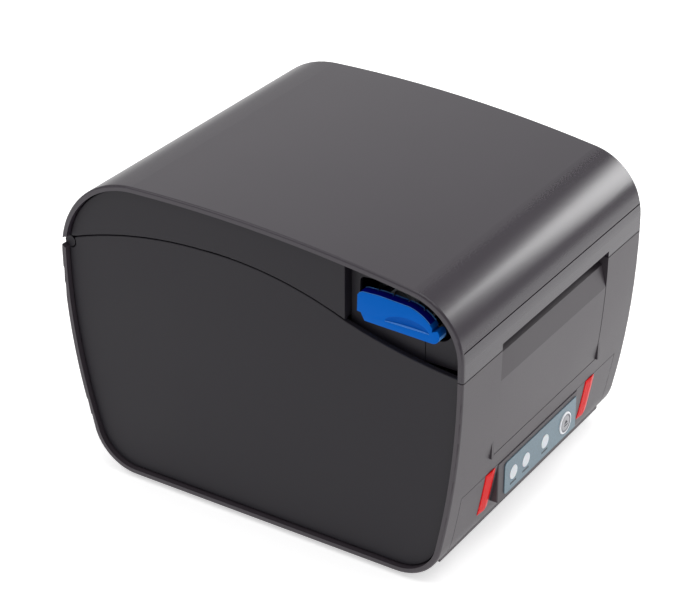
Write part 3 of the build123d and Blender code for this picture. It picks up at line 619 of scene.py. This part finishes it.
def from_front(y, z):
    """A place given from the housing's front and underside, as depth and height in metres."""
    return cad_box[0].y + y * mm, (z + 2.0) * mm


outer_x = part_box("lever_handle")[0].x
inner_x = outer_x + 4.8 * mm
silhouette = [(13.2, 105.0), (42.4, 105.9), (44.0, 109.0), (45.6, 109.2), (45.4, 116.0), (44.6, 117.1)]
silhouette += [(43.2, 117.6), (36.4, 117.9), (24.3, 117.2)]
silhouette += bend_through((24.3, 117.2), (18.2, 115.1), (13.9, 111.3), 12)
silhouette += [(13.9, 109.6), (11.6, 110.6)]
silhouette += bend_through((11.6, 110.6), (10.9, 107.0), (13.2, 105.0), 8)[:-1]
side_view = [from_front(y, z) for y, z in silhouette]
lever = as_object("release_handle", prism(side_view, (outer_x, inner_x)))
scoop = bmesh.new()
scoop_y, scoop_z = from_front(24.4, 108.2)
scoop_place = Matrix.Translation((outer_x, scoop_y, scoop_z))
scoop_size = Matrix.Diagonal((1.05 * mm, 9.4 * mm, 3.9 * mm, 1))
bmesh.ops.create_uvsphere(
    scoop, u_segments=64, v_segments=32, radius=1, matrix=scoop_place @ scoop_size)
bmesh.ops.bisect_plane(
    scoop, geom=scoop.verts[:] + scoop.edges[:] + scoop.faces[:], plane_co=(0, 0, scoop_z),
    plane_no=(0, 0, -1), clear_outer=True)
bmesh.ops.holes_fill(scoop, edges=scoop.edges)
bmesh.ops.recalc_face_normals(scoop, faces=scoop.faces)
cut_away(lever, as_object("scoop", scoop))
notch_size = Matrix.Diagonal((3.4 * mm, 0.8 * mm, 4.4 * mm, 1))
for notch_place in ((38.8, 117.0), (32.4, 117.0), (25.9, 117.0), (19.3, 115.6)):
    y, z = from_front(*notch_place)
    notch = bmesh.new()
    bmesh.ops.create_cube(notch, size=1, matrix=Matrix.Translation((inner_x, y, z)) @ notch_size)
    cut_away(lever, as_object("notch", notch))
edge = lever.modifiers.new("edge", "BEVEL")
edge.width = 0.35 * mm
edge.segments = 3
edge.limit_method = "ANGLE"
edge.angle_limit = radians(38)
mesh = settled(lever)
bpy.data.objects.remove(lever)
soften(mesh, 30)
lever_blue, place = start_finish("lever_blue", {"Specular IOR Level": 0.04})
depth_in = rise(along(place, "X"), outer_x, inner_x)
# Only the first blue is the lever's own colour: the darker scoop blue and the navy are painted shade, and
# the light blue is a painted highlight.
face_blue, painted_shade_scoop_blue = tone(0, 90, 180), tone(0, 78, 164)
painted_shade_navy, painted_highlight_blue = tone(8, 8, 112), tone(96, 160, 232)
# Across the top from the outer face inwards: a painted highlight on the outer edge, painted shade over the
# top, a painted highlight on the inner edge.
top_light_and_shade = depth_in.node("ShaderNodeValToRGB", {"stops": [
    (0.0, face_blue), (0.02, face_blue), (0.035, painted_highlight_blue), (0.08, painted_highlight_blue), (0.11, painted_shade_navy), (0.84, painted_shade_navy),
    (0.88, painted_highlight_blue), (1.0, painted_highlight_blue)]}, {0: depth_in})
lever_height = along(place, "Z")
above_scoop = rise(lever_height, from_front(0, 112.2)[1], from_front(0, 112.5)[1])
ledge = rise(lever_height, from_front(0, 108.45)[1], from_front(0, 108.3)[1])
sunk = rise(depth_in, 0.01, 0.03)
# Below the top: painted shade where the scoop sinks in, and a painted highlight on the ledge under it.
scoop_with_painted_shade = between(sunk, face_blue, painted_shade_scoop_blue)
lower_part = between(sunk * ledge, scoop_with_painted_shade, painted_highlight_blue)
mottle = noise(place, 1500, 2.0)
feed(lever_blue, "Base Color", between(above_scoop, lower_part, top_light_and_shade))
feed(lever_blue, "Roughness", mottle * 0.12 + 0.3)
feed(lever_blue, "Normal", relief(mottle, 0.006 * mm))
new_piece("release_handle", mesh, lever_blue, "lever", "lever_blue", "lever_handle")

# ---------------------------------------------------------------- lever shaft and latch
# A ground steel shaft carries the lever and turns two hardened hooks, which catch the pins of the
# platen bracket. The black recess wall round the lever is moulded like the side panels.

bright_steel = sheet_metal("bright_steel", tone(200, 201, 205), 0.22, (1, 12, 12))
dress("bright_steel", bright_steel, "lever_shaft", "latch_hooks")
dress("side_black", side_black, "recess_wall")

# ---------------------------------------------------------------- mechanism frame
# Blanked and bent zinc-plated sheet: two side plates on feet, the head's hinge bracket and the
# cutter's upright plate. Small pan-head screws hold the cutter plate to the side plates.

dress("sheet_steel", zinc_sheet, "mechanism_frame", "head_bracket", "cutter_frame")
plate_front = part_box("cutter_frame")[0].y
plate_screws = [
    (x * mm, plate_front, from_front(0, z)[1])
    for x in (-50.2, 50.2)
    for z in (69.5, 82.5)
]
set_out_part(
    "cutter_plate_screws", cross_screw(1.5 * mm, 0.7 * mm, 0.7 * mm, 0.9 * mm), plate_screws, ahead,
    screw_steel, "root", "screw_steel")

# ---------------------------------------------------------------- thermal head
# A glazed ceramic strip with the row of heaters on an extruded aluminium heat sink. Three coil
# springs of music wire push the pair up against the platen.

aluminium = sheet_metal("aluminium", tone(188, 190, 194), 0.4, (1, 7, 7))
ceramic = plain_plastic("ceramic", tone(206, 196, 176), 0.3)
dress("heat_aluminium", aluminium, "heat_sink")
dress("head_ceramic", ceramic, "thermal_head")
coils, sizes_in = start_tree(
    "coil_springs", {"Radius": number, "Height": number, "Turns": number, "Wire": number})
helix = sizes_in["Radius"].node(
    "GeometryNodeCurveSpiral", None,
    {"Resolution": 28, "Rotations": sizes_in["Turns"], "Start Radius": sizes_in["Radius"],
     "End Radius": sizes_in["Radius"], "Height": sizes_in["Height"]})
round_wire = helix.node(
    "GeometryNodeCurvePrimitiveCircle", None, {"Resolution": 10, "Radius": sizes_in["Wire"]})
spring = helix.node(
    "GeometryNodeCurveToMesh", None, {"Curve": helix, "Profile Curve": round_wire, "Fill Caps": True})
end_tree(coils, stand_on(sizes_in["Places"], spring), sizes_in["Finish"])
spring_low, spring_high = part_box("head_springs")
wire_radius = 0.32 * mm
seat_y = (spring_low.y + spring_high.y) / 2
spring_radius = (spring_high.y - spring_low.y) / 2 - wire_radius
reach_x = spring_high.x - spring_radius - wire_radius
spring_sizes = {
    "Radius": spring_radius, "Height": spring_high.z - spring_low.z - 2 * wire_radius, "Turns": 4.5,
    "Wire": wire_radius, "Finish": bright_steel}
spring_seats = [(x, seat_y, spring_low.z + wire_radius) for x in (-reach_x, 0, reach_x)]
grow("coiled_head_springs", coils, spring_seats, spring_sizes, "root", "bright_steel", "head_springs")

# ---------------------------------------------------------------- platen and gear train
# The platen's rubber is moulded onto a ground steel shaft that turns in two nylon bushes. Nylon
# gears of 0.8 mm module carry the stepper's turn to it over an idler on a riveted pin.

platen_rubber = rubber("platen_rubber", tone(30, 30, 33), 0.6, 0.02 * mm)
gear_white = plain_plastic("gear_white", tone(216, 212, 200), 0.38)
dress("platen_rubber", platen_rubber, "platen_roller")
dress("bright_steel", bright_steel, "platen_shaft", "idler_pin")
dress("gear_nylon", gear_white, "idler_gear", "motor_pinion", "platen_gear", "platen_bushes")

# ---------------------------------------------------------------- motors
# The stepper that feeds the paper and the small motor of the cutter are drawn steel cans. The
# stepper has a pressed bearing boss on its closed end and a row of pins for its leads.

motor_can = sheet_metal("motor_can", tone(166, 167, 172), 0.3, (10, 1, 1))
dress("bright_steel", motor_can, "stepper_motor", "cutter_motor")
boss_outline = [(0, 0.7), (1.3, 0.7), (1.5, 0.9), (3.0, 0.9), (3.4, 0.5), (3.4, 0), (0, 0)]
boss = turned([(radius * mm, height * mm) for radius, height in boss_outline], 40)
motor_low, motor_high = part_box("stepper_motor")
can_radius = 9.0 * mm
can_y, can_z = motor_high.y - can_radius, (motor_low.z + motor_high.z) / 2
set_out_part(
    "stepper_boss", boss, [(motor_low.x, can_y, can_z)], leftward, motor_can, "root", "bright_steel")
pin_row = [(motor_low.x + 9 * mm, can_y, motor_low.z - 0.2 * mm)]
rows_of_bars(
    "stepper_pins", pin_row, 4, (2.0 * mm, 0, 0), (0.6 * mm, 0.6 * mm, 1.8 * mm), motor_can, "root",
    "bright_steel")

# ---------------------------------------------------------------- cutter
# A guillotine: the moving blade with its rack slides in the cutter plate against a fixed blade on
# the cover. Both are ground from hardened strip.

blade_steel = sheet_metal("blade_steel", tone(206, 207, 211), 0.2, (1, 1, 14))
dress("bright_steel", blade_steel, "cutter_blade", "fixed_blade")
dress("gear_nylon", gear_white, "cutter_pinion")

# ---------------------------------------------------------------- circuit boards
# Green glass-epoxy boards: a small one behind the lamps and the main one ahead of the connectors,
# with chips, their tinned legs, three sleeved capacitors and a scatter of small parts.

board_green = plain_plastic("board_green", tone(18, 92, 52), 0.35, 0.01 * mm, 900)
dress("circuit_green", board_green, "control_board", "main_board")
port_black = plain_plastic("port_black", tone(24, 24, 26), 0.42)
dress("port_plastic", port_black, "buzzer", "tact_switch", "paper_sensor")
port_steel = sheet_metal("port_steel", tone(176, 177, 181), 0.3, (3, 1, 1))
sleeve_outline = [(0, 0), (3.8, 0), (4.08, 0.4), (4.08, 8.4), (3.7, 9.0), (3.3, 9.15), (0, 9.15)]
sleeve = turned([(radius * mm, height * mm) for radius, height in sleeve_outline], 48)
board_y, capacitor_z = from_front(157.0, 66.0)
set_out_part(
    "capacitor_sleeves", sleeve, [(x * mm, board_y, capacitor_z) for x in (-40, -28, -16)], ahead,
    port_black, "root", "port_plastic")
chip_x, chip_z = -34 * mm, from_front(0, 44.0)[1]
chip_pitch, chip_drop = 22 * mm, 9 * mm
rows_of_bars(
    "board_chips", [(chip_x, board_y - 0.7 * mm, chip_z)], 3, (chip_pitch, 0, -chip_drop),
    (10 * mm, 1.4 * mm, 10 * mm), port_black, "root", "port_plastic")
leg_start, leg_off = 4.4 * mm, 5.6 * mm
leg_rows = [
    (chip_x - leg_start + chip * chip_pitch, board_y - 0.3 * mm, chip_z - chip * chip_drop + side)
    for chip in range(3)
    for side in (-leg_off, leg_off)
]
rows_of_bars(
    "chip_legs", leg_rows, 12, (0.8 * mm, 0, 0), (0.35 * mm, 0.5 * mm, 1.4 * mm), port_steel, "root",
    "port_metal")

scatter, sizes_in = start_tree(
    "scattered_parts", {"Patch": vector, "Density": number, "Least": vector, "Most": vector,
                        "Seed": "NodeSocketInt"})
patch_wide, patch_tall = along(sizes_in["Patch"], "X"), along(sizes_in["Patch"], "Z")
patch = patch_wide.node("GeometryNodeMeshGrid", None, {"Size X": patch_wide, "Size Y": patch_tall})
upright = patch.node("GeometryNodeTransform", None, {"Geometry": patch, "Rotation": (pi / 2, 0, 0)})
seeds = upright.node(
    "GeometryNodeDistributePointsOnFaces", None,
    {"Mesh": upright, "Density": sizes_in["Density"], "Seed": sizes_in["Seed"]})
scale = seeds.node(
    "FunctionNodeRandomValue", {"data_type": "FLOAT_VECTOR"},
    {0: sizes_in["Least"], 1: sizes_in["Most"], "Seed": sizes_in["Seed"]})
crumb = seeds.node("GeometryNodeMeshCube", None, {"Size": (1, 1, 1)})
crumbs = stand_on(seeds, crumb, Scale=scale)
end_tree(scatter, stand_on(sizes_in["Places"], crumbs), sizes_in["Finish"])
crumb_sizes = {
    "Patch": (40 * mm, 0, 14 * mm), "Density": 90000.0, "Seed": 5, "Finish": ceramic,
    "Least": (0.8 * mm, 0.7 * mm, 0.5 * mm), "Most": (2.0 * mm, 1.0 * mm, 1.2 * mm)}
grow("small_board_parts", scatter, [(26 * mm, board_y - 0.3 * mm, chip_z + 2 * mm)], crumb_sizes, "root",
     "head_ceramic")

# ---------------------------------------------------------------- connectors
# Power inlet, network, USB and drawer sockets and a rocker switch stand on the main board behind a
# black panel, with gilded contacts on the tongue inside each mouth.

dress("port_plastic", port_black, "power_jack", "drawer_port", "switch_bezel", "power_rocker")
dress("port_metal", port_steel, "lan_port", "usb_port")
gilt = sheet_metal("gilt", tone(214, 170, 84), 0.25, (1, 4, 1))
contact_size = (0.45 * mm, 7 * mm, 0.14 * mm)
for name, middle, count, pitch, tongue_top in (
        ("network_contacts", 0, 8, 1.05, 31.8), ("usb_contacts", 21, 4, 1.4, 32.1),
        ("drawer_contacts", 43, 6, 1.1, 32.6)):
    y, z = from_front(167.4, tongue_top + 0.05)
    first = (middle - pitch * (count - 1) / 2) * mm
    rows_of_bars(
        name, [(first, y, z)], count, (pitch * mm, 0, 0), contact_size, gilt, "root", "port_metal")
dress("inner_black", inner_black, "rear_panel")

# ---------------------------------------------------------------- flat cable
# Flexible amber ribbon between the head and its board, with etched copper tracks running along it.

flex_amber, place = start_finish("flex_amber", {"Specular IOR Level": 0.5})
tracks = place.node(
    "ShaderNodeTexWave", {"wave_type": "BANDS", "bands_direction": "X"},
    {"Vector": place, "Scale": 320, "Distortion": 0.0})
feed(flex_amber, "Base Color", between(tracks, tone(186, 112, 34), tone(140, 70, 20)))
feed(flex_amber, "Roughness", tracks * 0.12 + 0.24)
feed(flex_amber, "Normal", relief(tracks, 0.02 * mm))
dress("flex_amber", flex_amber, "flat_flex")

# ---------------------------------------------------------------- paper bay
# A drop-in bucket for the paper roll, moulded in black with a plain grain.

dress("inner_black", inner_black, "paper_bucket")

# ---------------------------------------------------------------- cover
# The cover's satin band, its front lip and its two set-in sides are one hinged assembly on a steel
# pin with black heads. A ribbed liner inside keeps the thin top from drumming.

dress("cover_satin", cover_satin, "cover_shell", "cover_front_lip")
dress("side_black", side_black, "cover_left_side", "cover_right_side", "cover_recess_wall", "hinge_pin")
dress("inner_black", inner_black, "cover_liner")
dress("sheet_steel", zinc_sheet, "platen_bracket")

# ---------------------------------------------------------------- studio
# A pale floor under four soft boxes: one overhead, one low on the right whose reflection runs along
# the rounded front edge of the cover, one behind it for the top and a small one for the rim.

floor_shape = bmesh.new()
bmesh.ops.create_grid(floor_shape, x_segments=1, y_segments=1, size=6.0)
floor = as_object("floor", floor_shape)
floor_paint, place = start_finish(
    "floor_paint", {"Specular IOR Level": 0.2, "Emission Color": (1, 1, 1, 1), "Emission Strength": 0.5})
fleck = noise(place, 8, 2.0)
feed(floor_paint, "Base Color", between(fleck, (0.88, 0.88, 0.88, 1), (0.92, 0.92, 0.92, 1)))
feed(floor_paint, "Roughness", fleck * 0.1 + 0.7)
floor.data.materials.append(floor_paint)

world = bpy.data.worlds.new("studio")
world.use_nodes = True
world.node_tree.nodes["Background"].inputs["Color"].default_value = (1, 1, 1, 1)
world.node_tree.nodes["Background"].inputs["Strength"].default_value = 0.55
bpy.context.scene.world = world
bpy.context.scene.view_settings.view_transform = "Standard"


def soft_box(name, place, target, size, power):
    """A rectangular soft box aimed at a point."""
    lamp = bpy.data.lights.new(name, "AREA")
    lamp.shape = "RECTANGLE"
    lamp.size, lamp.size_y = size
    lamp.energy = power
    box = add_object(name, lamp)
    box.location = place
    box.rotation_mode = "QUATERNION"
    box.rotation_quaternion = (Vector(target) - Vector(place)).to_track_quat("-Z", "Y")


heart = (cad_box[0] + cad_box[1]) / 2
soft_box("overhead", (0.1, -0.2, 1.7), heart, (1.5, 1.5), 11)
soft_box("right_edge", (1.17, -0.51, 0.54), heart, (0.6, 0.5), 7.5)
soft_box("back_right", (1.1, 0.72, 0.85), heart, (1.2, 0.9), 1.6)
soft_box("rim_line", (-0.55, 0.56, 0.95), heart, (0.3, 0.3), 1.8)

camera = add_object("camera", bpy.data.cameras.new("camera"))
camera.location = (-0.66853, -0.42238, 0.50649)
camera.rotation_mode = "QUATERNION"
camera.rotation_quaternion = Vector((0.737, 0.468, -0.488)).to_track_quat("-Z", "Y")
camera.data.lens = 113.86
camera.data.sensor_width = 36
camera.data.clip_start = 0.02
bpy.context.scene.camera = camera
